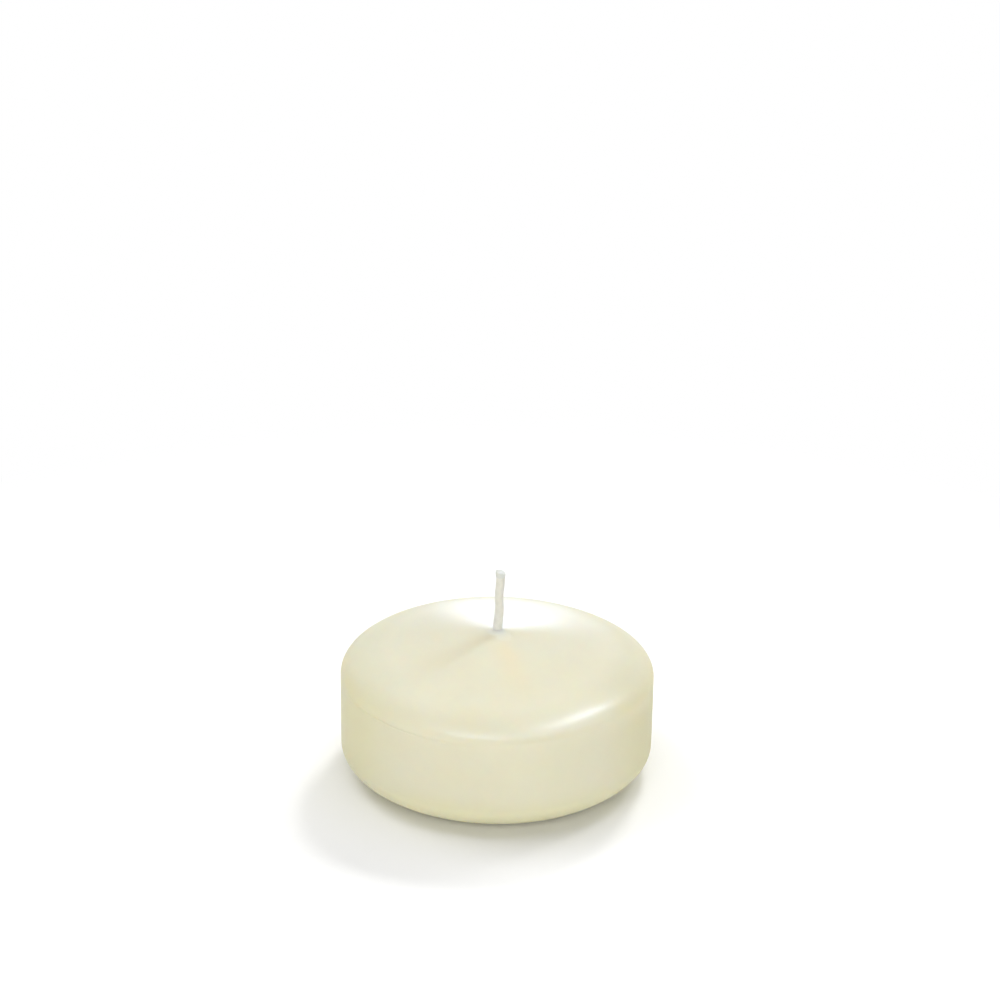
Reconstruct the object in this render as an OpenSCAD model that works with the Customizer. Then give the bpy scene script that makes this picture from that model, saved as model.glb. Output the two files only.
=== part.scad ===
// Round floating candle, millimetres, +Z up, origin at the centre of its flat underside.
// A moulded wax disc with a bowl-shaped foot, an upright wall and a low conical crown,
// threaded on a plaited wick that a stamped sustainer tab grips from below.

/* [Wax body] */
// Overall diameter of the wax disc
candle_d = 76.2; // [50:0.1:120]
// Height of the rounded foot, from the flat underside to the wall
foot_h = 7.8; // [3:0.1:12]
// How far the foot draws in under the wall
foot_w = 13.3; // [4:0.1:16]
// Height of the upright wall
wall_h = 17.9; // [8:0.1:30]
// Width of the rolled shoulder, measured inwards from the wall
shoulder_w = 12.0; // [4:0.1:16]
// Height of the rolled shoulder, were it a full quarter
shoulder_h = 6.2; // [2:0.1:9]
// Slope of the crown, in degrees
crown_slope = 7.5; // [3:0.5:14]
// Depth of the crease where the two mould halves meet
crease_depth = 0.18; // [0.05:0.01:0.4]
// Height of that crease
crease_h = 0.6; // [0.2:0.1:1.2]

/* [Wick seal] */
// Diameter of the wax that has crept up round the wick
seal_d = 6.0; // [4.5:0.1:9]
// How high it stands above the crown
seal_h = 0.6; // [0.2:0.05:1.2]
// Width of its lip round the wick
seal_lip = 0.25; // [0.15:0.05:0.5]

/* [Wick] */
// Diameter of the waxed wick
wick_d = 2.1; // [1.4:0.1:3]
// Length of wick that stands above its seal
wick_free_h = 16.7; // [8:0.1:25]
// Sideways lean of the tip
wick_lean = 0.75; // [0:0.05:2]
// Amplitude of the two waves that the plait sets in the wick
wick_wave = 0.09; // [0:0.01:0.3]
// Backward bow at half height
wick_bow = 0.3; // [0:0.05:1]
// Strands that run round the wick in each direction
strands = 3; // [2:1:4]
// Height over which one strand goes from one lobe to the next
strand_pitch = 2.4; // [1.8:0.1:4]
// Depth of the furrows between the strands
strand_depth = 0.12; // [0.04:0.01:0.2]
// How much the cut end is frayed out beyond the wick, each side
tip_flare = 0.06; // [0:0.01:0.15]
// Slant of the cut end, in degrees
tip_slant = 14; // [0:1:25]

/* [Sustainer tab] */
// Diameter of the stamped disc
tab_d = 15.0; // [10:0.5:22]
// Thickness of the sheet
tab_t = 0.3; // [0.2:0.05:0.5]
// Height of the drawn neck above the disc
neck_h = 3.0; // [2:0.5:8]
// Wall of the neck
neck_wall = 0.35; // [0.3:0.05:0.5]
// Radius where the neck leaves the disc
neck_root_r = 0.5; // [0.3:0.05:0.8]
// Dents that the crimping jaws leave round the neck
crimps = 4; // [2:1:6]
// Radius of the jaw that presses each dent
crimp_r = 0.9; // [0.5:0.1:1.2]
// Depth of each dent
crimp_depth = 0.15; // [0.05:0.01:0.2]
// How far the disc sits up inside the underside
tab_recess = 0.6; // [0.3:0.1:1.5]

/* [Clearances] */
// Round the wick in the wax
wick_gap = 0.06; // [0.03:0.01:0.2]
// Round the wick in the neck
grip_gap = 0.03; // [0.02:0.01:0.1]
// Round the disc in its seat
seat_gap = 0.2; // [0.1:0.05:0.4]
// Round and above the neck in its pocket
pocket_gap = 0.15; // [0.1:0.05:0.3]

/* [Hidden] */

// Overlap of a cutting tool past the face it cuts
cut = 1;

// Radii of the body, and the heights of its levels
candle_r = candle_d / 2;
foot_r = candle_r - foot_w;
crease_z = foot_h + wall_h;

// The shoulder is a quarter ellipse that stops where it is as steep as the crown
shoulder_end = atan(shoulder_h / shoulder_w / tan(crown_slope));
shoulder_end_r = candle_r - shoulder_w * (1 - cos(shoulder_end));
shoulder_end_z = crease_z + shoulder_h * sin(shoulder_end);

// The wick's hole and the lip of wax round it
wick_r = wick_d / 2;
hole_r = wick_r + wick_gap;
lip_r = hole_r + seal_lip;
seal_r = seal_d / 2;
lip_z = crown_z(lip_r) + seal_h;

// The tab, and the seat and pocket that it presses into the wax
tab_r = tab_d / 2;
tab_top_z = tab_recess + tab_t;
grip_r = wick_r + grip_gap;
neck_r = grip_r + neck_wall;
neck_top_z = tab_top_z + neck_h;
crimp_z = tab_top_z + neck_root_r + (neck_h - neck_root_r) / 2;
seat_r = tab_r + seat_gap;
pocket_r = neck_r + pocket_gap;
pocket_top_z = neck_top_z + pocket_gap;

// The warm wax draws away from the rim of the seat by this much
seat_flare = 0.4;

// Fineness of the rounded stretches of the outline, of full turns, and of small holes
arc_steps = 14;
seal_steps = 6;
turn_steps = 144;
hole_steps = 48;

// Fineness of the wick: corners of each ring, rings for each lobe, and the waves it makes
ring_sides = 24;
rings_per_pitch = 8;
wick_waves = 2;

// The wick leaves its seal straight, and is in its full lean and relief this far above it
ease_h = 1.5;

// The frayed end: height of the flare, and of the dome of fibres over it
flare_h = 1.2;
tip_dome_h = 0.35;
tip_rings = 4;

// Height of the crown at a given radius, from the end of the shoulder to the axis
function crown_z(r) = shoulder_end_z + (shoulder_end_r - r) * tan(crown_slope);

// Points on an ellipse, from angle a0 to angle a1
function arc_points(centre, w, h, a0, a1) = [
    for (i = [0:arc_steps])
        let (a = a0 + (a1 - a0) * i / arc_steps)
        [centre[0] + w * cos(a), centre[1] + h * sin(a)]
];

// The wax creeps up the wick as a meniscus: a parabola, steepest at the lip
function seal_points() = [
    for (i = [0:seal_steps])
        let (t = i / seal_steps, r = seal_r + (lip_r - seal_r) * t)
        [r, crown_z(r) + (lip_z - crown_z(lip_r)) * t * t]
];

// Half outline of the body, from the middle of the underside round to the middle of the top
function body_outline() = concat(
    [[0, 0]],
    arc_points([foot_r, foot_h], foot_w, foot_h, -90, 0),
    [
        [candle_r, crease_z - crease_h],
        [candle_r - crease_depth, crease_z - crease_h / 2]
    ],
    arc_points([candle_r - shoulder_w, crease_z], shoulder_w, shoulder_h, 0, shoulder_end),
    seal_points(),
    [[0, lip_z]]
);

// Moulded wax: the solid disc, less the wick's hole, the tab's seat and the neck's pocket
module wax_body() {
    color("#E4DFC4")
    difference() {
        rotate_extrude($fn = turn_steps)
            polygon(body_outline());
        translate([0, 0, -cut])
            cylinder(r = hole_r, h = lip_z + 2 * cut, $fn = hole_steps);
        translate([0, 0, -cut])
            cylinder(r = seat_r, h = tab_top_z + cut, $fn = turn_steps);
        translate([0, 0, -seat_flare])
            cylinder(r1 = seat_r + 2 * seat_flare, r2 = seat_r, h = 2 * seat_flare, $fn = turn_steps);
        translate([0, 0, -cut])
            cylinder(r = pocket_r, h = pocket_top_z + cut, $fn = hole_steps);
        translate([0, 0, tab_top_z - cut])
            cylinder(r = pocket_r + neck_root_r, h = neck_root_r + cut, $fn = hole_steps);
    }
}

// How far along its free height a point of the wick is, from 0 at the seal to 1 at the tip
function free_part(z) = max(0, z - lip_z) / wick_free_h;

// Smooth start of the lean and of the relief, just above the seal
function ease(z) =
    let (t = min(1, max(0, z - lip_z) / ease_h))
    t * t * (3 - 2 * t);

// Middle of the wick at a height: upright in the candle, then leaning, waved and bowed
function wick_centre(z) =
    let (u = free_part(z))
    [
        ease(z) * (wick_lean * u - wick_wave * sin(360 * wick_waves * u)),
        ease(z) * wick_bow * sin(180 * u),
        z
    ];

// Two sets of strands wind opposite ways, and the one on top makes the surface
function strand_relief(a, z) =
    let (turn = 360 * (z - lip_z) / strand_pitch)
    let (over = max(cos(strands * a + turn), cos(strands * a - turn)))
    strand_depth * (1 - over) / 2;

// The cut strands spread over the last stretch of the wick
function flare(z) =
    let (t = max(0, 1 - (wick_top_z - z) / flare_h))
    tip_flare * t * t;

// Radius of the wick's surface at a height and an angle round it
function wick_surface(a, z) = wick_r + flare(z) - ease(z) * strand_relief(a, z);

// The slanted cut pulls the end down on the side that the wick leans to
function slant_drop(a, z) =
    let (t = max(0, 1 - (wick_top_z - z) / flare_h))
    t * wick_r * cos(a) * tan(tip_slant);

// One ring of corners round the wick, shrunk by k and raised by lift for the frayed dome
function wick_ring(z, k = 1, lift = 0) = [
    for (i = [0:ring_sides - 1])
        let (a = 360 * i / ring_sides, c = wick_centre(z), r = k * wick_surface(a, z))
        [c[0] + r * cos(a), c[1] + r * sin(a), c[2] + lift - k * slant_drop(a, z)]
];

// Heights of the rings: the straight root, then even steps fine enough for the strands
wick_bottom_z = tab_recess;
wick_top_z = lip_z + wick_free_h;
free_rings = ceil(wick_free_h / strand_pitch * rings_per_pitch);
wick_levels = concat(
    [wick_bottom_z],
    [for (i = [0:free_rings]) lip_z + wick_free_h * i / free_rings]
);

// Rings of the whole wick, closed over its frayed end by a dome of shrinking rings
function wick_rings() = concat(
    [for (z = wick_levels) wick_ring(z)],
    [for (i = [1:tip_rings])
        let (a = 90 * i / (tip_rings + 1))
        wick_ring(wick_top_z, cos(a), tip_dome_h * sin(a))]
);

// Closed skin over a stack of rings: side faces, and a flat cap at each end
module skin(rings) {
    n = len(rings[0]);
    last = len(rings) - 1;
    points = [for (ring = rings) each ring];
    sides = [
        for (j = [0:last - 1], i = [0:n - 1])
            let (p = j * n + i, q = j * n + (i + 1) % n)
            each [[p, p + n, q], [q, p + n, q + n]]
    ];
    bottom = [[for (i = [0:n - 1]) i]];
    top = [[for (i = [n - 1:-1:0]) last * n + i]];
    polyhedron(points = points, faces = concat(sides, bottom, top), convexity = 4);
}

// Plaited cotton wick, primed with wax, from the tab's underside to its frayed cut end
module wick() {
    color("#DEDACE")
    skin(wick_rings());
}

// Half outline of the tab: a disc with its neck drawn up round the wick
function tab_outline() = concat(
    [
        [grip_r, tab_recess],
        [tab_r, tab_recess],
        [tab_r, tab_top_z],
        [neck_r + neck_root_r, tab_top_z]
    ],
    [
        for (i = [1:arc_steps - 1])
            let (a = 270 - 90 * i / arc_steps)
            [
                neck_r + neck_root_r + neck_root_r * cos(a),
                tab_top_z + neck_root_r + neck_root_r * sin(a)
            ]
    ],
    [
        [neck_r, tab_top_z + neck_root_r],
        [neck_r, neck_top_z],
        [grip_r, neck_top_z]
    ]
);

// Stamped and tinned steel tab, its neck crimped on the wick by round-nosed jaws
module wick_tab() {
    color("#B9BBBD")
    difference() {
        rotate_extrude($fn = turn_steps)
            polygon(tab_outline());
        for (i = [0:crimps - 1])
            rotate([0, 0, 360 * i / crimps])
            translate([neck_r + crimp_r - crimp_depth, 0, crimp_z])
            rotate([90, 0, 0])
                cylinder(r = crimp_r, h = 2 * neck_r, center = true, $fn = hole_steps);
    }
}

wax_body();
wick();
wick_tab();
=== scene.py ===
import math

import bpy
import numpy as np
from mathutils import Matrix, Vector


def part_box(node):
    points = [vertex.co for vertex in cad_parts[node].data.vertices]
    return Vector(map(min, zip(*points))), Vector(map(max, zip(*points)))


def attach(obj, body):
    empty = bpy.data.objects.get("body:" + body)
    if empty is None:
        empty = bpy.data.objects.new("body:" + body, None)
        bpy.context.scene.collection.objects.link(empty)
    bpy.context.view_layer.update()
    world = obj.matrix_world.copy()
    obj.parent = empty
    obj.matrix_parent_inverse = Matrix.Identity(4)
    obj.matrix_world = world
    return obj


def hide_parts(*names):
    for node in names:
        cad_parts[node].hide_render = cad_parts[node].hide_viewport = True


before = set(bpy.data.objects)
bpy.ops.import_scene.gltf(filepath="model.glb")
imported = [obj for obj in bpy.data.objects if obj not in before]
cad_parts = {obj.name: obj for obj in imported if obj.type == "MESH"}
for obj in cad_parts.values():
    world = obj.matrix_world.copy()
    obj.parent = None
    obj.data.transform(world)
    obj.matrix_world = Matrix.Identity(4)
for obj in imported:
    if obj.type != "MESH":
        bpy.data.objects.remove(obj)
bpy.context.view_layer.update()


# Moulded wax body
# A disc of cream paraffin wax, poured in a two-part mould and turned out when firm. A crease shows
# where the mould's halves met, and the wax shrank as it set, which drew soft folds in the crown. A
# hole for the wick runs through it, and the underside has the tab's seat and its neck's pocket.
wax_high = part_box("wax_body")[1]
candle_r = wax_high.x
lip_z = wax_high.z
foot_h = 0.0078
foot_w = 0.0133
wall_h = 0.0179
shoulder_w = 0.0120
shoulder_h = 0.0062
crown_slope = math.radians(7.5)
crease_depth = 0.00018
crease_h = 0.0006
seal_r = 0.0030
seal_share = 0.6
hole_r = 0.00111
lip_r = 0.00136
seat_r = 0.0077
seat_flare = 0.0004
tab_top_z = 0.0009
pocket_r = 0.00158
pocket_top_z = 0.00405
neck_root_r = 0.0005

foot_r = candle_r - foot_w
crease_z = foot_h + wall_h
shoulder_end = math.atan(shoulder_h / shoulder_w / math.tan(crown_slope))
shoulder_end_r = candle_r - shoulder_w * (1 - math.cos(shoulder_end))
shoulder_end_z = crease_z + shoulder_h * math.sin(shoulder_end)


def crown_z(r):
    """Height of the crown at a radius: a straight slope from the end of the shoulder to the axis."""
    return shoulder_end_z + (shoulder_end_r - r) * math.tan(crown_slope)


seal_top_z = crown_z(lip_r) + seal_share * (lip_z - crown_z(lip_r))


def ellipse_arc(centre_r, centre_z, width, height, start, end, count=80):
    """Points on an ellipse, centre + (width cos a, height sin a), for angles a from start to end."""
    a = np.linspace(start, end, count)
    return np.stack([centre_r + width * np.cos(a), centre_z + height * np.sin(a)], axis=1)


def wax_outline(seal_count=40):
    """Half section of the disc as one loop of (radius, height). It goes up the wick's hole, over the
    lip, down the seal (a parabola), the crown, the shoulder and the wall, round the foot, and back in
    along the underside through the tab's seat and the neck's pocket."""
    inwards = np.linspace(1, 0, seal_count)
    seal_line = seal_r + (lip_r - seal_r) * inwards
    seal_rise = (seal_top_z - crown_z(lip_r)) * inwards * inwards
    seal = np.stack([seal_line, crown_z(seal_line) + seal_rise], axis=1)
    shoulder = ellipse_arc(candle_r - shoulder_w, crease_z, shoulder_w, shoulder_h, shoulder_end, 0)
    crease = [[candle_r - crease_depth, crease_z - crease_h / 2], [candle_r, crease_z - crease_h]]
    foot = ellipse_arc(foot_r, foot_h, foot_w, foot_h, 0, -math.pi / 2)
    underside = [
        [seat_r + seat_flare, 0],
        [seat_r, seat_flare],
        [seat_r, tab_top_z],
        [pocket_r + neck_root_r, tab_top_z],
        [pocket_r + neck_root_r, tab_top_z + neck_root_r],
        [pocket_r, tab_top_z + neck_root_r],
        [pocket_r, pocket_top_z],
        [hole_r, pocket_top_z],
    ]
    return np.concatenate([[[hole_r, seal[0, 1]]], seal, shoulder, crease, foot, underside])


def soft_loop(corners, step, rounding):
    """A closed loop in even steps, each point blended with its neighbours by a bell curve of the width
    `rounding`, so that no corner is sharper than wax can hold. The points are complex numbers, radius
    plus i times height, and the blend is done on the loop's frequencies."""
    closed = np.vstack([corners, corners[:1]])
    run = np.concatenate([[0], np.cumsum(np.hypot(*np.diff(closed, axis=0).T))])
    count = int(run[-1] / step)
    at = np.arange(count) * run[-1] / count
    points = np.interp(at, run, closed[:, 0]) + 1j * np.interp(at, run, closed[:, 1])
    waves = np.fft.fftfreq(count, run[-1] / count)
    return np.fft.ifft(np.fft.fft(points) * np.exp(-2 * (np.pi * rounding * waves) ** 2))


def pick_rows(loop, longest, sharpest):
    """Rows of the surface, picked from a dense loop. They lie at most `longest` apart, and closer where
    the loop turns, at most `sharpest` radians a row. Both are given for each point of the loop."""
    heading = np.roll(loop, -1) - loop
    turn = np.abs(np.angle(heading / np.roll(heading, 1)))
    share = np.cumsum(np.abs(heading) / longest + turn / sharpest)
    rows = np.searchsorted(share, np.arange(1, share[-1]))
    return loop[rows]


def turned(loop, columns):
    """Surface of revolution: each (radius, height) carried round the axis in even columns."""
    a = np.arange(columns) * 2 * np.pi / columns
    x = loop.real[:, None] * np.cos(a)
    y = loop.real[:, None] * np.sin(a)
    z = np.broadcast_to(loop.imag[:, None], x.shape)
    return np.stack([x, y, z], axis=-1)


def ramp(value, start, end):
    """Smooth step: 0 before start, 1 after end, and 3t^2 - 2t^3 between them."""
    t = np.clip((value - start) / (end - start), 0, 1)
    return t * t * (3 - 2 * t)


def ray_from_wick(x, y, bearing, peak, end, width, spread):
    """Strength of a fold that runs out from the wick at a bearing, in degrees from +X towards +Y. Along
    it the strength rises smoothly from the axis to `peak`, and falls smoothly from there to nothing at
    `end`. Across it is a bell curve, whose width grows by `spread` with the distance."""
    b = math.radians(bearing)
    along = x * math.cos(b) + y * math.sin(b)
    across = y * math.cos(b) - x * math.sin(b)
    bell = np.exp(-(across / (width + spread * np.maximum(along, 0))) ** 2 / 2)
    return bell * ramp(along, 0, peak) * (1 - ramp(along, peak, end))


def spot(x, y, place, size):
    """Round bell curve about a point of the crown."""
    return np.exp(-((x - place[0]) ** 2 + (y - place[1]) ** 2) / (2 * size * size))


# Traces of pouring and cooling in the crown, with bearings in degrees from +X towards +Y
valley_bearing = 218
valley_depth = 0.00014
ridge_bearing = 246
ridge_height = 0.00004
hollow_bearing = 283
hollow_depth = 0.00003
pit_place = (-0.0018, -0.0034)
pit_depth = 0.00009
drop_place = (0.0016, -0.0027)
drop_r = 0.0021
drop_height = 0.00012
uneven_height = 0.00002
crown_rise = 0.00145
crown_rise_r = 0.026


def spilt_drop(x, y):
    """1 on the flat round drop of wax spilt to the right of the wick, and 0 off it, with a soft edge."""
    from_middle = np.hypot((x - drop_place[0]) / drop_r, (y - drop_place[1]) / drop_r)
    return 1 - ramp(from_middle, 0.75, 1.15)


def crown_relief(x, y):
    """Height added to the crown: a valley, a lower ridge and a faint hollow that run out from the wick,
    the drop of wax spilt on its right, the pit on its left, and a very shallow unevenness."""
    valley = -valley_depth * ray_from_wick(
        x, y, valley_bearing, peak=0.005, end=0.026, width=0.0009, spread=0.12)
    ridge = ridge_height * ray_from_wick(
        x, y, ridge_bearing, peak=0.008, end=0.026, width=0.0020, spread=0.16)
    hollow = -hollow_depth * ray_from_wick(
        x, y, hollow_bearing, peak=0.008, end=0.028, width=0.0015, spread=0.12)
    spill = drop_height * spilt_drop(x, y)
    pit = -pit_depth * spot(x, y, pit_place, size=0.00090)
    uneven = uneven_height * np.sin(260 * x + 1.1) * np.cos(230 * y - 0.6)
    return valley + ridge + hollow + spill + pit + uneven


def drawn_up(r):
    """Height that the wax rises towards the wick, by capillary pull as it sets. It is nothing at the
    radius crown_rise_r, and grows from there as the power one and a half of the distance inwards."""
    return crown_rise * np.maximum(0, 1 - r / crown_rise_r) ** 1.5


def near_bearing(x, y, bearing, width):
    """Bell curve over the direction round the axis. It is 1 at the bearing, counted from +X towards +Y,
    and the bearing and the width are in degrees."""
    off = np.angle((x + 1j * y) * np.exp(-1j * math.radians(bearing)), deg=True)
    return np.exp(-(off / width) ** 2 / 2)


# Warps of the wall, shoulder and foot, with how far round each reaches, in degrees
front_bearing = 272
crease_dip = 0.0009
dip_reach = 42
seam_bearing = 208
seam_reach = 32
slump_bearing = 42
slump_reach = 25
slump_depth = 0.0003
drawn_in_bearing = 318
drawn_in_reach = 22
drawn_in_depth = 0.0005
foot_end_z = 0.0120
warp_start_r = 0.010
lip_h = 0.0006
lip_hug = 0.09


def poured(grid):
    """The turned disc as it comes out of the mould. The crown rises to the wick, its relief fades out
    over the shoulder and at the wick's hole, and the lip of the seal closes on the wick. The crease
    dips at the front and is rubbed away all round but for the left of the front. The shoulder slumps a
    little at the back right, and the foot is drawn in a little at the front right."""
    x, y, z = np.moveaxis(grid, -1, 0)
    r = np.hypot(x, y)
    high = ramp(z, crease_z + 0.3 * shoulder_h, crease_z + shoulder_h)
    on_top = high * ramp(r, hole_r, seal_r)
    at_lip = ramp(z, seal_top_z - lip_h, seal_top_z) * (1 - ramp(r, hole_r, lip_r))
    hug = 1 - lip_hug * at_lip
    outer = ramp(r, warp_start_r, foot_r)
    crease_foot = crease_z - crease_h
    over_foot = ramp(z, crease_foot - 0.0006, crease_foot - 0.0001)
    at_crease = over_foot * (1 - ramp(z, crease_z, crease_z + 0.0007))
    rubbed_and_painted_shade = 1 - ramp(near_bearing(x, y, seam_bearing, seam_reach), 0.1, 0.6)
    fill = 1 + outer * rubbed_and_painted_shade * at_crease * (candle_r / np.maximum(r, foot_r) - 1)
    on_shoulder = ramp(z, crease_z, shoulder_end_z)
    by_crease = ramp(z, foot_h, crease_z) * (1 - on_shoulder)
    by_foot = 1 - ramp(z, 0, foot_end_z)
    dip = crease_dip * outer * by_crease * near_bearing(x, y, front_bearing, dip_reach)
    slump = slump_depth * outer * on_shoulder * near_bearing(x, y, slump_bearing, slump_reach)
    drawn_in = drawn_in_depth * outer * by_foot * near_bearing(x, y, drawn_in_bearing, drawn_in_reach)
    out = hug * fill * (1 - drawn_in / np.maximum(r, seat_r))
    rise = high * drawn_up(r) + on_top * crown_relief(x, y)
    return np.stack([x * out, y * out, z - dip - slump + rise], axis=-1)


def surface_mesh(name, grid, rows_join):
    """Mesh of a grid of points, (rows, columns, 3), whose last column joins the first. The last row
    joins the first too where rows_join says so, and otherwise a fan closes each end row. Faces look
    outwards where the rows run outwards and down."""
    rows, columns = grid.shape[:2]
    points = grid.reshape(-1, 3)
    index = np.arange(rows * columns).reshape(rows, columns)
    here = index if rows_join else index[:-1]
    below = np.roll(index, -1, axis=0) if rows_join else index[1:]
    quads = np.stack([here, below, np.roll(below, -1, axis=1), np.roll(here, -1, axis=1)], axis=-1)
    faces = quads.reshape(-1, 4).tolist()
    if not rows_join:
        first, last = index[0], index[-1]
        top, bottom = len(points), len(points) + 1
        points = np.vstack([points, grid[0].mean(axis=0), grid[-1].mean(axis=0)])
        faces += [[top, *pair] for pair in zip(first.tolist(), np.roll(first, -1).tolist())]
        faces += [[bottom, *pair] for pair in zip(np.roll(last, -1).tolist(), last.tolist())]
    mesh = bpy.data.meshes.new(name)
    mesh.from_pydata(points.tolist(), [], faces)
    mesh.shade_smooth()
    return mesh


def new_piece(name, mesh, material):
    """Object at the origin, with its place in its mesh and its one material."""
    mesh.materials.append(material)
    piece = bpy.data.objects.new(name, mesh)
    bpy.context.scene.collection.objects.link(piece)
    return piece


def point_values(mesh, name, values):
    """Stores one number for each vertex under a name that a material can read."""
    mesh.attributes.new(name, "FLOAT", "POINT").data.foreach_set("value", values.astype(np.float32))


def new_finish(name, constants):
    """New material whose shader has the given constant values on its own sockets."""
    material = bpy.data.materials.new(name)
    material.use_nodes = True
    shader = material.node_tree.nodes["Principled BSDF"]
    for socket, value in constants.items():
        shader.inputs[socket].default_value = value
    return material, shader


def noise(material, scale, detail=2.0, roughness=0.5, stretch=(1, 1, 1)):
    """Noise on the piece's own Object coordinates, with `scale` lumps to the metre."""
    nodes, links = material.node_tree.nodes, material.node_tree.links
    place = nodes.new("ShaderNodeTexCoord")
    mapping = nodes.new("ShaderNodeMapping")
    mapping.inputs["Scale"].default_value = stretch
    texture = nodes.new("ShaderNodeTexNoise")
    texture.inputs["Scale"].default_value = scale
    texture.inputs["Detail"].default_value = detail
    texture.inputs["Roughness"].default_value = roughness
    links.new(place.outputs["Object"], mapping.inputs["Vector"])
    links.new(mapping.outputs["Vector"], texture.inputs["Vector"])
    return texture.outputs["Fac"]


def spread_over(material, value, low, high, to_low=0.0, to_high=1.0):
    """Maps a value from the range low to high onto to_low to to_high."""
    node = material.node_tree.nodes.new("ShaderNodeMapRange")
    limits = {"From Min": low, "From Max": high, "To Min": to_low, "To Max": to_high}
    for socket, number in limits.items():
        node.inputs[socket].default_value = number
    material.node_tree.links.new(value, node.inputs["Value"])
    return node.outputs["Result"]


def mixed(material, share, first, second):
    """Colour that goes from first to second with share. Each is a colour or another node's output."""
    node = material.node_tree.nodes.new("ShaderNodeMix")
    node.data_type = "RGBA"
    material.node_tree.links.new(share, node.inputs["Factor"])
    colour_sockets = [socket for socket in node.inputs if socket.type == "RGBA"]
    for socket, colour in zip(colour_sockets, (first, second)):
        if isinstance(colour, tuple):
            socket.default_value = colour
        else:
            material.node_tree.links.new(colour, socket)
    return next(socket for socket in node.outputs if socket.type == "RGBA")


def attribute(material, name):
    """The number that the mesh stores for each vertex under a name."""
    node = material.node_tree.nodes.new("ShaderNodeAttribute")
    node.attribute_name = name
    return node.outputs["Fac"]


def raised(material, height, depth, under=None):
    """Bump of a given depth in metres, laid over the one under it."""
    node = material.node_tree.nodes.new("ShaderNodeBump")
    node.inputs["Strength"].default_value = 1.0
    node.inputs["Distance"].default_value = depth
    material.node_tree.links.new(height, node.inputs["Height"])
    if under:
        material.node_tree.links.new(under, node.inputs["Normal"])
    return node.outputs["Normal"]


def cream_wax():
    """Cream paraffin wax, satin and slightly translucent. It is a little paler where it cooled slowly,
    warmer along the hollow, and palest in the spilt drop. Painted shade makes it yellower round the
    sides away from the front and round the foot, greyer round the rim of the crown and the foot, and
    browner in the pit and along the valley where the wick's shadow falls. Painted light makes the
    collar round the wick pale. The mould leaves the wall and the far shoulder dull."""
    cream = (0.790, 0.768, 0.600, 1)
    pale_cream = (0.802, 0.781, 0.622, 1)
    side_shade_cream = (0.785, 0.752, 0.480, 1)
    warm_cream = (0.830, 0.755, 0.545, 1)
    wick_shadow_cream = (0.690, 0.605, 0.400, 1)
    grey_shade_cream = (0.640, 0.632, 0.470, 1)
    fresh_and_lit_cream = (0.860, 0.850, 0.705, 1)
    material, shader = new_finish("cream paraffin wax", {
        "IOR": 1.43,
        "Subsurface Weight": 1.0,
        "Subsurface Radius": (1.0, 0.85, 0.60),
        "Subsurface Scale": 0.0055,
    })
    links = material.node_tree.links
    cloudy = spread_over(material, noise(material, 85, detail=3), 0.35, 0.65)
    colour = mixed(material, cloudy, cream, pale_cream)
    # Painted shade: a darker, yellower cream round the sides away from the front and round the foot
    colour = mixed(material, attribute(material, "painted_side_and_foot_shade"), colour, side_shade_cream)
    colour = mixed(material, attribute(material, "warmth"), colour, warm_cream)
    # Painted shadow of the wick: a browner cream in the pit at its foot and along the valley to the
    # lower left
    colour = mixed(material, attribute(material, "painted_wick_shadow"), colour, wick_shadow_cream)
    # Painted shade: a greyer, darker cream round the rim of the crown away from the front and round the
    # foot
    colour = mixed(material, attribute(material, "rubbed_and_painted_shade"), colour, grey_shade_cream)
    # Palest cream in the spilt drop, and as painted light in the collar round the wick, where the wick
    # shades it
    colour = mixed(material, attribute(material, "fresh_and_painted_light"), colour, fresh_and_lit_cream)
    links.new(colour, shader.inputs["Base Color"])
    moulded = attribute(material, "moulded")
    roughness = spread_over(material, moulded, 0, 1, to_low=0.29, to_high=0.50)
    links.new(roughness, shader.inputs["Roughness"])
    shine = spread_over(material, moulded, 0, 1, to_low=0.50, to_high=0.03)
    links.new(shine, shader.inputs["Specular IOR Level"])
    dimples = raised(material, noise(material, 420), depth=0.00003)
    skin = raised(material, noise(material, 2600, detail=3), depth=0.000004, under=dimples)
    links.new(skin, shader.inputs["Normal"])
    return material


# Rows lie close on the crown, closest by the wick, and wide apart in the hole and round the tab, where
# nothing shows. The turns are the most degrees from one row to the next.
wax_columns = 320
wall_step = 0.0010
hole_step = 0.003
seen_turn = 4.5
hidden_turn = 15
hole_end_r = hole_r + 0.0001

wax_loop = soft_loop(wax_outline(), step=0.00002, rounding=0.00012)
in_hole = wax_loop.real < hole_end_r
on_crown = (wax_loop.imag > shoulder_end_z) & ~in_hole
crown_step = np.clip(0.06 * wax_loop.real, 0.00012, 0.0005)
row_step = np.where(on_crown, crown_step, np.where(in_hole, hole_step, wall_step))
hidden = in_hole | ((wax_loop.real < seat_r + seat_flare) & (wax_loop.imag < crease_z))
sharpest_turn = np.radians(np.where(hidden, hidden_turn, seen_turn))
wax_rows = pick_rows(wax_loop, row_step, sharpest_turn)
wax_grid = poured(turned(wax_rows, wax_columns))
wax_mesh = surface_mesh("moulded_wax", wax_grid, rows_join=True)

# How strongly each change in the wax's looks shows at each point, from 0 to 1
front_reach = 38
shiny_bearing = 288
shiny_reach = 40

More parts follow.
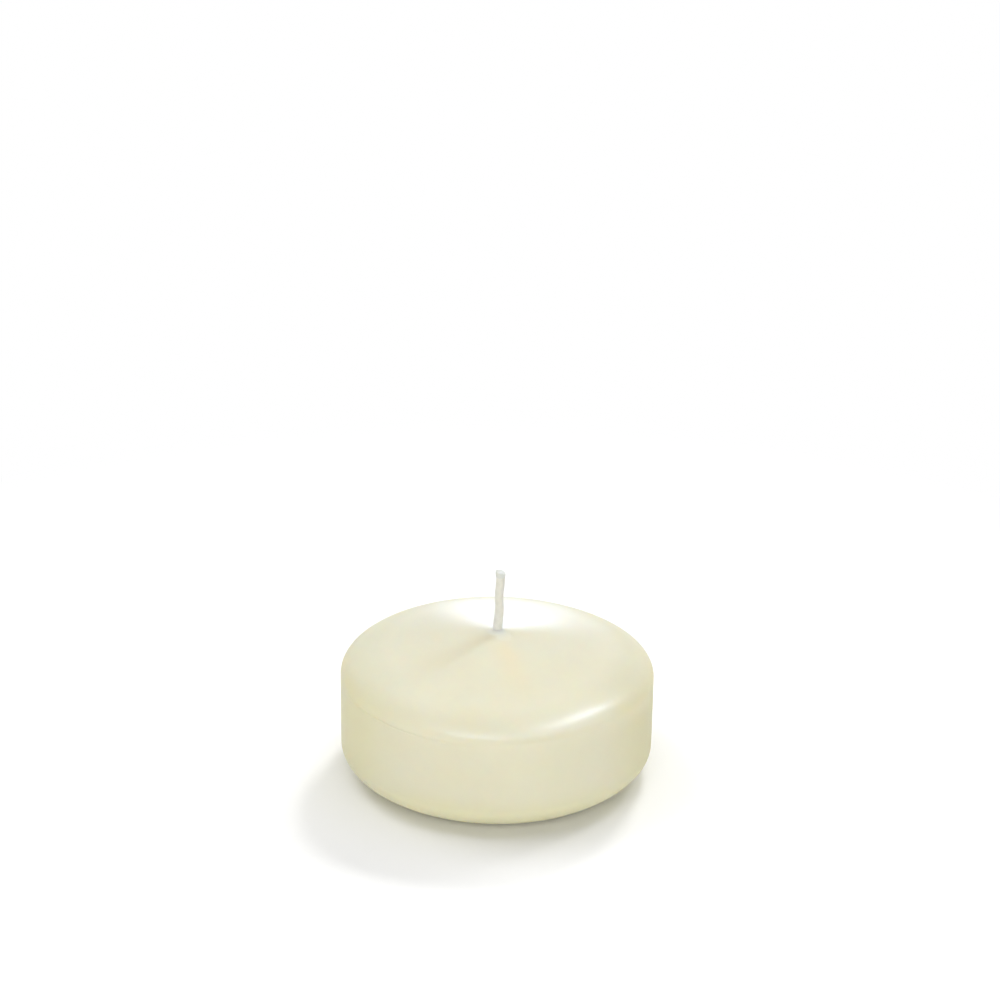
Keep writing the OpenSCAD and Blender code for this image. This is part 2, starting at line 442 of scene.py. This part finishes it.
wax_x, wax_y, wax_z = wax_grid.reshape(-1, 3).T
wax_r = np.hypot(wax_x, wax_y)
wax_above = ramp(wax_z, crease_z, shoulder_end_z)
wax_dip = crease_dip * near_bearing(wax_x, wax_y, front_bearing, dip_reach)
off_front = 1 - ramp(near_bearing(wax_x, wax_y, front_bearing, front_reach), 0.2, 0.65)
off_shiny = 1 - ramp(near_bearing(wax_x, wax_y, shiny_bearing, shiny_reach), 0.2, 0.6)
warm_streak = 0.75 * ray_from_wick(
    wax_x, wax_y, hollow_bearing, peak=0.010, end=0.034, width=0.0014, spread=0.06)
# Painted shadow: the crown is browner along the valley where the wick's shadow falls, and in the pit at
# its foot
painted_valley_shadow = 0.28 * ray_from_wick(
    wax_x, wax_y, valley_bearing, peak=0.005, end=0.033, width=0.0011, spread=0.11)
painted_pit_shade = 0.35 * spot(wax_x, wax_y, pit_place, size=0.0010)
# Painted shade: the foot turns darker and yellower towards the table
painted_foot_shade = 1 - ramp(wax_z, 0.0030, foot_end_z)
# Painted shade: the foot and the rim of the crown away from the front are made greyer and darker
painted_grey_foot_shade = 0.22 * (1 - ramp(wax_z, 0.0040, foot_end_z))
painted_rim_shade = 0.50 * ramp(wax_r, 0.026, 0.034) * off_front * wax_above
fresh_drop = 0.35 * spilt_drop(wax_x, wax_y)
# Painted light: the collar round the wick is made pale, which lifts the shade of the wick and the seal
painted_collar_light = 1 - ramp(wax_r, 0.0020, seal_r)
mould_wall = 1 - ramp(wax_z + wax_dip, crease_z - 0.0040, crease_z - 0.0002)
dull_rim = 0.9 * (ramp(wax_r, 0.028, 0.033) * off_shiny)
wax_looks = {
    "painted_side_and_foot_shade": 0.8 * np.maximum(off_front * (1 - wax_above), painted_foot_shade),
    "moulded": np.maximum(mould_wall, dull_rim),
    "warmth": warm_streak * wax_above,
    "painted_wick_shadow": (painted_pit_shade + painted_valley_shadow) * wax_above,
    "rubbed_and_painted_shade": painted_grey_foot_shade + painted_rim_shade,
    "fresh_and_painted_light": np.maximum(fresh_drop, painted_collar_light) * wax_above,
}
for look_name, strength in wax_looks.items():
    point_values(wax_mesh, look_name, strength)
wax = new_piece("moulded_wax", wax_mesh, cream_wax())
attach(wax, "root")
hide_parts("wax_body")


# Plaited wick
# Cotton yarn plaited round, drawn through hot wax to stiffen it, and cut off with side cutters above
# the crown. The root runs straight through the wax into the tab's neck.
wick_root_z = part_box("wick")[0].z
wick_top_z = 0.05200
wick_r = 0.00109
wick_free_h = wick_top_z - lip_z
wick_lean = 0.00042
wick_wave = 0.00009
wick_bow = 0.0003
strands = 3
strand_pitch = 0.0024
strand_depth = 0.00004
over_under = 0.35
yarns = 5
yarn_depth = 0.000008
ease_h = 0.0015
foot_swell = 0.00012
swell_h = 0.0080
flare_h = 0.0015
tip_flare = 0.00010
tip_slant = math.radians(14)
tip_dome_h = 0.00035
fray_depth = 0.00005
plait_end_z = lip_z - 0.0008
root_start_z = lip_z - 0.0010
dome_rows = 14
root_rows = 12


def wick_line(z):
    """Middle of the wick at a height: upright in the wax, then leaning to the right in proportion to
    the height, with two sine waves across and a half sine wave back."""
    up = np.maximum(0, z - lip_z) / wick_free_h
    ease = ramp(z, lip_z, lip_z + ease_h)
    x = ease * (wick_lean * up - wick_wave * np.sin(4 * np.pi * up))
    y = ease * wick_bow * np.sin(np.pi * up)
    return x, y


def plait_depth(angle, z):
    """How far the surface lies below the top of the strands. Two sets of strands wind opposite ways,
    and each passes over and under the other in turn. Fine ripples along the one on top are its yarns."""
    turn = 2 * np.pi * (z - lip_z) / strand_pitch
    left_phase = strands * angle + turn
    right_phase = strands * angle - turn
    lift = over_under * np.cos(strands * angle)
    left = np.cos(left_phase) + lift
    right = np.cos(right_phase) - lift
    furrow = (1 + over_under - np.maximum(left, right)) / (2 + over_under)
    on_top = np.where(left > right, left_phase, right_phase)
    return strand_depth * furrow + yarn_depth * (1 - np.cos(yarns * on_top)) / 2


def wick_grid(columns, row_step):
    """Rings from the tip down to the root: a low dome over the cut end, then the plait. The cut strands
    flare out near the top, and the cut slants down on the side that the wick leans to. Wax that crept
    up the foot swells it a little."""
    dome = np.radians(np.linspace(84, 6, dome_rows))
    free = np.linspace(wick_top_z, plait_end_z, int(wick_free_h / row_step))
    root = np.linspace(root_start_z, wick_root_z, root_rows)
    below_dome = len(free) + len(root)
    z = np.concatenate([np.full(len(dome), wick_top_z), free, root])[:, None]
    shrink = np.concatenate([np.cos(dome), np.ones(below_dome)])[:, None]
    lift = np.concatenate([tip_dome_h * np.sin(dome), np.zeros(below_dome)])[:, None]
    angle = (np.arange(columns) * 2 * np.pi / columns)[None, :]
    near_tip = np.maximum(0, 1 - (wick_top_z - z) / flare_h)
    ease = ramp(z, lip_z - 0.0005, lip_z + 2 * ease_h)
    wax_up = foot_swell * ramp(z, seal_top_z - 0.0004, lip_z) * (1 - ramp(z, lip_z, lip_z + swell_h))
    flare = tip_flare * ramp(near_tip, 0, 0.4)
    frayed = fray_depth * np.sin(7 * angle + 0.5) * np.sin(11 * angle + 2.1) * near_tip ** 2
    r = shrink * (wick_r + wax_up + flare - ease * plait_depth(angle, z)) + frayed
    slant = shrink * near_tip * wick_r * np.cos(angle) * math.tan(tip_slant)
    tufts = lift * (1 + 0.5 * np.sin(5 * angle + 9 * shrink) * shrink)
    x, y = wick_line(z)
    return np.stack([x + r * np.cos(angle), y + r * np.sin(angle), z + tufts - slant], axis=-1)


def waxed_cotton():
    """Bleached cotton primed with wax: greyish white, darker in the plait's furrows by painted shade,
    greyer at the dry cut end, and palest at the foot, which is soaked with the poured wax and made
    paler still by painted light."""
    primed = (0.840, 0.825, 0.750, 1)
    bare = (0.770, 0.790, 0.760, 1)
    furrow = (0.700, 0.680, 0.590, 1)
    soaked = (0.920, 0.900, 0.820, 1)
    material, shader = new_finish("waxed plaited cotton", {
        "IOR": 1.43,
        "Subsurface Weight": 0.35,
        "Subsurface Radius": (1.0, 0.9, 0.7),
        "Subsurface Scale": 0.0004,
    })
    links = material.node_tree.links
    colour = mixed(material, attribute(material, "cut_end"), primed, bare)
    # Painted shade in the plait's furrows
    colour = mixed(material, attribute(material, "furrow"), colour, furrow)
    # The wax-soaked foot, made palest by painted light that lifts the shade where the wick meets the wax
    colour = mixed(material, attribute(material, "soaked_foot_painted_light"), colour, soaked)
    links.new(colour, shader.inputs["Base Color"])
    gloss = spread_over(material, noise(material, 1500), 0.3, 0.7, to_low=0.38, to_high=0.55)
    links.new(gloss, shader.inputs["Roughness"])
    fibre = noise(material, 9000, detail=3, roughness=0.6, stretch=(1, 1, 0.35))
    links.new(raised(material, fibre, depth=0.000012), shader.inputs["Normal"])
    return material


wick_columns = 144
wick_points = wick_grid(wick_columns, row_step=0.00006)
wick_mesh = surface_mesh("plaited_wick", wick_points, rows_join=False)


def wick_values(name, rings, tip, root):
    """Stores one number for each point of the wick: first its rings', then the tip's and the root's."""
    point_values(wick_mesh, name, np.concatenate([rings.ravel(), [tip, root]]))


wick_z = wick_points[..., 2]
wick_angle = (np.arange(wick_columns) * 2 * np.pi / wick_columns)[None, :]
out_of_wax = ramp(wick_z, lip_z, lip_z + ease_h)
# Painted shade: how deep in a furrow of the plait each point lies
painted_furrow_shade = np.clip(plait_depth(wick_angle, wick_z) / strand_depth, 0, 1) * out_of_wax
cut_end = ramp(wick_z, wick_top_z - 0.0014, wick_top_z - 0.0010)
# The foot of the wick is soaked with wax, and painted light makes it paler where the wax shades it
soaked_foot_painted_light = 1 - ramp(wick_z, lip_z - 0.0003, lip_z + 0.0016)
wick_values("furrow", 0.30 * painted_furrow_shade, tip=0, root=0)
wick_values("cut_end", cut_end, tip=1, root=0)
wick_values("soaked_foot_painted_light", soaked_foot_painted_light, tip=0, root=1)
wick = new_piece("plaited_wick", wick_mesh, waxed_cotton())
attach(wick, "root")
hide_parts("wick")


# Sustainer tab
# A disc with a drawn neck, stamped from thin tin-plated steel. Round-nosed jaws crimp the neck on the
# wick, and the disc is pressed into the warm underside. It keeps the shape it has in model.glb.
def tinned_steel():
    """Tin-plated sheet steel: bright and satin, with faint clouding from the tin bath and a fine grain
    from the rolling mill."""
    bright_tin = (0.700, 0.710, 0.715, 1)
    clouded_tin = (0.570, 0.580, 0.590, 1)
    material, shader = new_finish("tin-plated steel", {"Metallic": 1.0})
    links = material.node_tree.links
    clouds = spread_over(material, noise(material, 420, detail=4), 0.4, 0.65)
    links.new(mixed(material, clouds, bright_tin, clouded_tin), shader.inputs["Base Color"])
    grain = noise(material, 3000, detail=3, roughness=0.6, stretch=(0.06, 1, 1))
    roughness = spread_over(material, grain, 0.3, 0.7, to_low=0.24, to_high=0.38)
    links.new(roughness, shader.inputs["Roughness"])
    links.new(raised(material, grain, depth=0.000003), shader.inputs["Normal"])
    return material


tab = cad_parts["wick_tab"]
tab_finish = tinned_steel()
for place in tab.material_slots:
    place.material = tab_finish


# Table
# A plain white board that the candle stands on. The camera and mirror-like surfaces see it pure white
# away from the candle. Near the candle they see it as it is lit, so that the candle's shadows stay.
table_z = -0.00002
table_half = 6.0
# Painted warm light: the board bounces light in a warmer cream than the white that is seen
table_warm_bounce = (0.93, 0.92, 0.87, 1)
table_seen_white = (1.0, 1.0, 1.0, 1)
table_lift = 0.025
shadow_r = 0.14
plain_r = 0.24


def seen_rays(tree):
    """1 for rays that the camera sends, directly or by way of a mirror-like or clear surface."""
    path = tree.nodes.new("ShaderNodeLightPath")
    total = path.outputs["Is Camera Ray"]
    for kind in ("Is Glossy Ray", "Is Transmission Ray"):
        either = tree.nodes.new("ShaderNodeMath")
        either.operation = "MAXIMUM"
        tree.links.new(total, either.inputs[0])
        tree.links.new(path.outputs[kind], either.inputs[1])
        total = either.outputs["Value"]
    return total


def white_table():
    """Matt white board, lifted by a faint glow where it is seen. The light that it bounces onto the
    candle is a warmer cream, as painted warm light. Only its upper face is solid, so that the candle
    can be seen from below."""
    material = bpy.data.materials.new("matt white table")
    material.use_nodes = True
    tree = material.node_tree
    nodes, links = tree.nodes, tree.links
    nodes.clear()
    seen = seen_rays(tree)
    board = nodes.new("ShaderNodeBsdfDiffuse")
    links.new(mixed(material, seen, table_warm_bounce, table_seen_white), board.inputs["Color"])
    lift = nodes.new("ShaderNodeEmission")
    lift_seen = spread_over(material, seen, 0, 1, 0, table_lift)
    links.new(lift_seen, lift.inputs["Strength"])
    lit_board = nodes.new("ShaderNodeAddShader")
    links.new(board.outputs["BSDF"], lit_board.inputs[0])
    links.new(lift.outputs["Emission"], lit_board.inputs[1])
    place = nodes.new("ShaderNodeTexCoord")
    distance = nodes.new("ShaderNodeVectorMath")
    distance.operation = "LENGTH"
    links.new(place.outputs["Object"], distance.inputs[0])
    away = nodes.new("ShaderNodeMapRange")
    away.interpolation_type = "SMOOTHSTEP"
    away.inputs["From Min"].default_value = shadow_r
    away.inputs["From Max"].default_value = plain_r
    links.new(distance.outputs["Value"], away.inputs["Value"])
    plain_share = nodes.new("ShaderNodeMath")
    plain_share.operation = "MULTIPLY"
    links.new(away.outputs["Result"], plain_share.inputs[0])
    links.new(seen, plain_share.inputs[1])
    plain = nodes.new("ShaderNodeEmission")
    top = nodes.new("ShaderNodeMixShader")
    links.new(plain_share.outputs["Value"], top.inputs["Fac"])
    links.new(lit_board.outputs["Shader"], top.inputs[1])
    links.new(plain.outputs["Emission"], top.inputs[2])
    face = nodes.new("ShaderNodeNewGeometry")
    clear = nodes.new("ShaderNodeBsdfTransparent")
    either_face = nodes.new("ShaderNodeMixShader")
    links.new(face.outputs["Backfacing"], either_face.inputs["Fac"])
    links.new(top.outputs["Shader"], either_face.inputs[1])
    links.new(clear.outputs["BSDF"], either_face.inputs[2])
    output = nodes.new("ShaderNodeOutputMaterial")
    links.new(either_face.outputs["Shader"], output.inputs["Surface"])
    return material


table_corners = table_half * np.array([[-1, -1], [1, -1], [1, 1], [-1, 1]])
table_mesh = bpy.data.meshes.new("table")
table_mesh.from_pydata([(x, y, table_z) for x, y in table_corners.tolist()], [], [(0, 1, 2, 3)])
table = new_piece("table", table_mesh, white_table())


# Room and lamps
# A pale studio: white paper stands low down all round, in front of a grey room. Soft lamps light the
# candle from the back right, above, the left and the front. Cards of cool daylight, which only shiny
# surfaces show, make the lights on its crown and shoulder.
paper_stops = ((0.00, 1.00), (0.03, 1.00), (0.10, 0.24))
room_light = (0.13, 0.13, 0.13, 1)
lamp_distance = 1.3
cool_daylight = (0.85, 0.97, 1.28)


def studio_room():
    """World that gives an even light. Where it is seen, straight or in a shiny surface, it is white
    paper low down and fades to grey above it. Each of the paper's stops is the sine of an elevation and
    the brightness there."""
    world = bpy.data.worlds.new("studio")
    bpy.context.scene.world = world
    world.use_nodes = True
    tree = world.node_tree
    nodes, links = tree.nodes, tree.links
    nodes.clear()
    place = nodes.new("ShaderNodeTexCoord")
    split = nodes.new("ShaderNodeSeparateXYZ")
    links.new(place.outputs["Generated"], split.inputs["Vector"])
    paper = nodes.new("ShaderNodeValToRGB")
    paper.color_ramp.elements.new(0.5)
    for element, (at, level) in zip(paper.color_ramp.elements, paper_stops):
        element.position = at
        element.color = (level, level, level, 1)
    links.new(split.outputs["Z"], paper.inputs["Fac"])
    background = nodes.new("ShaderNodeBackground")
    light = mixed(world, seen_rays(tree), room_light, paper.outputs["Color"])
    links.new(light, background.inputs["Color"])
    output = nodes.new("ShaderNodeOutputWorld")
    links.new(background.outputs["Background"], output.inputs["Surface"])


def soft_lamp(name, azimuth, elevation, width, height, level):
    """Rectangular lamp aimed at the candle. Azimuth 0 is straight behind it and 90 to the right, and
    level is the share of full white that it gives a white surface turned to it."""
    a, e = math.radians(azimuth), math.radians(elevation)
    away = (math.sin(a) * math.cos(e), math.cos(a) * math.cos(e), math.sin(e))
    lamp = bpy.data.lights.new(name, "AREA")
    lamp.shape = "RECTANGLE"
    lamp.size = width
    lamp.size_y = height
    lamp.energy = level * math.pi ** 2 * lamp_distance ** 2
    piece = bpy.data.objects.new(name, lamp)
    target = np.array([0, 0, lip_z / 2])
    piece.location = target + lamp_distance * np.array(away)
    piece.rotation_euler = (math.pi / 2 - e, 0, math.pi - a)
    piece.visible_camera = False
    bpy.context.scene.collection.objects.link(piece)
    return piece


def shines_past(lamp, piece):
    """Lets a lamp's light pass a piece, so that the piece throws no shadow, as under a wider lamp."""
    blockers = bpy.data.collections.new("blockers_of_" + lamp.name)
    blockers.objects.link(piece)
    blockers.collection_objects[0].light_linking.link_state = "EXCLUDE"
    lamp.light_linking.blocker_collection = blockers


studio_room()

# Lamps that shiny surfaces don't show: name, azimuth, elevation, width, height, level
matt_lamps = (
    ("back_lamp", 20.7, 47, 0.24, 0.24, 0.32),
    ("behind_lamp", 30, 62, 0.7, 0.5, 0.06),
    ("side_lamp", 49, 43, 0.3, 0.3, 0.18),
    ("top_lamp", 0, 86, 1.1, 1.1, 0.25),
    ("left_lamp", -72, 56, 0.8, 0.6, 0.28),
    ("front_lamp", 180, 33, 1.3, 0.45, 0.25),
    ("front_low_lamp", 180, 10, 1.2, 0.3, 0.28),
)
for settings in matt_lamps:
    lamp = soft_lamp(*settings)
    lamp.visible_glossy = False
shines_past(bpy.data.objects["back_lamp"], wick)

# Cards that only shiny surfaces show: name, azimuth, elevation, width, height, level
shine_cards = (
    ("backdrop_card", 1.4, 7, 0.255, 0.26, 0.0465),
    ("right_card", 100, 52, 1.15, 0.50, 0.52),
    ("right_strip", 97, 50, 0.8, 0.16, 0.34),
    ("right_low_card", 115, 24, 1.2, 0.50, 0.30),
    ("front_right_card", 150, 38, 0.9, 0.80, 0.40),
    ("front_left_card", -130, 44, 1.5, 0.60, 0.18),
    ("front_low_card", -165, 24, 0.9, 0.36, 0.46),
)
for settings in shine_cards:
    card = soft_lamp(*settings)
    card.visible_diffuse = False
    card.data.color = cool_daylight


# Camera
# Above the table and looking down at the candle from the front, with a long lens. The middle of the
# crease's ring stands at a known place in the photograph, which has 1000 pixels each way.
frame_px = 1000
crease_px = (497.3, 671.2)
lens = 0.100
sensor = 0.036
pitch = math.radians(22.151)
roll = math.radians(0.882)
crease_distance = 0.6783
mm_per_metre = 1000

camera_data = bpy.data.cameras.new("camera")
camera_data.lens = mm_per_metre * lens
camera_data.sensor_width = mm_per_metre * sensor
camera = bpy.data.objects.new("camera", camera_data)
bpy.context.scene.collection.objects.link(camera)
bpy.context.scene.camera = camera
look = np.array([0, math.cos(pitch), -math.sin(pitch)])
level_up = np.array([0, math.sin(pitch), math.cos(pitch)])
level_right = np.array([1, 0, 0])
right = math.cos(roll) * level_right + math.sin(roll) * level_up
up = math.cos(roll) * level_up - math.sin(roll) * level_right
px_per_slope = frame_px * lens / sensor
across, down = (np.array(crease_px) - frame_px / 2) / px_per_slope
ray = look + across * right - down * up
eye = np.array([0, 0, crease_z]) - crease_distance * ray / np.linalg.norm(ray)
camera_place = np.eye(4)
camera_place[:3] = np.stack([right, up, -look, eye], axis=1)
camera.matrix_world = Matrix(camera_place.tolist())
bpy.context.scene.view_settings.view_transform = "Standard"
